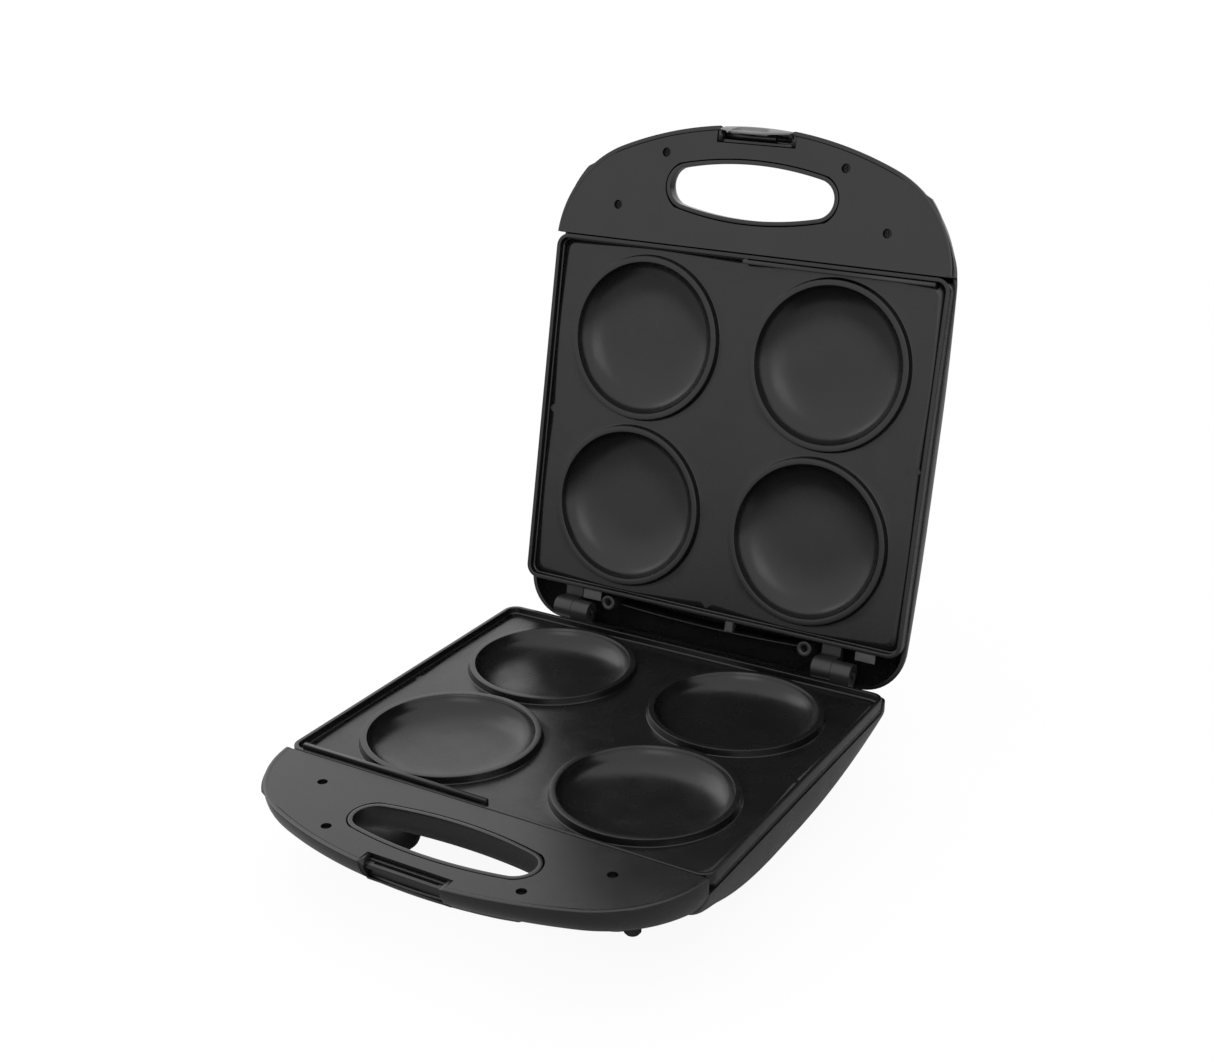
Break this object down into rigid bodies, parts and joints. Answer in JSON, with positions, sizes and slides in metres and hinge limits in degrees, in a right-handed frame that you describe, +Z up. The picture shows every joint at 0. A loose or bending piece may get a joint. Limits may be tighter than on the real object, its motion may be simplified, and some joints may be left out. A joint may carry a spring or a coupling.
{
  "type": "donut maker",
  "caption": "Hinged countertop snack maker with round cups in two cooking plates, looped front handles and a sprung front latch, shown open.",
  "frame": {"origin": "on the resting surface, straight below the middle of the open object (the lower cooking plate's centre lies 9.4 mm in front of it)", "axes": "+X to the right seen from the front, +Y back towards the hinge, +Z up"},
  "size_m": [0.256, 0.3841, 0.3561],
  "materials": {
    "housing": "moulded black plastic with a soft gloss",
    "cover": "satin black plastic with a fine texture",
    "plate": "cast aluminium under a dark grey non-stick coating",
    "steel": "zinc-plated steel",
    "dark_screw": "blackened steel",
    "element": "heat-darkened steel sheath",
    "reflector": "bright aluminised sheet",
    "ceramic": "glazed ceramic and heat-proof plastic",
    "rubber": "black rubber",
    "hinge": "dark grey coated metal",
    "red_lens": "clear red plastic",
    "green_lens": "clear green plastic"
  },
  "bodies": {
    "base": {"base_shell": "housing", "base_handle_cover": "cover", "base_cover_screws": "dark_screw", "base_plate": "plate", "base_plate_screws": "steel", "base_heating_element": "element", "base_reflector": "reflector", "thermostat": "ceramic", "thermal_fuse": "ceramic", "terminal_block": "ceramic", "cord_gland": "rubber", "foot_front_left": "rubber", "foot_front_right": "rubber", "foot_back_left": "rubber", "foot_back_right": "rubber", "latch_keeper": "cover", "base_hinge_leaf_left": "hinge", "base_hinge_leaf_right": "hinge", "base_hinge_screws": "steel", "hinge_pin_left": "steel", "hinge_pin_right": "steel"},
    "lid": {"lid_shell": "housing", "lid_handle_cover": "cover", "lid_cover_screws": "dark_screw", "lid_plate": "plate", "lid_plate_screws": "steel", "lid_heating_element": "element", "lid_reflector": "reflector", "lamp_holder": "ceramic", "power_lamp_lens": "red_lens", "ready_lamp_lens": "green_lens", "lid_hinge_leaf_left": "hinge", "lid_hinge_leaf_right": "hinge", "lid_hinge_screws": "steel", "latch_pin": "steel", "latch_spring": "steel"},
    "latch": {"latch_flap": "cover"}
  },
  "joints": [
    {"name": "lid_hinge", "type": "hinge", "parent": "base", "child": "lid", "pos_m": [0, 0.11429, 0.055], "axis": [1, 0, 0], "range_deg": [0, 101.5]},
    {"name": "latch_pivot", "type": "hinge", "parent": "lid", "child": "latch", "pos_m": [0, 0.18206, 0.34797], "axis": [-1, 0, 0], "range_deg": [0, 18], "stiffness_Nm_per_rad": 0.02}
  ]
}
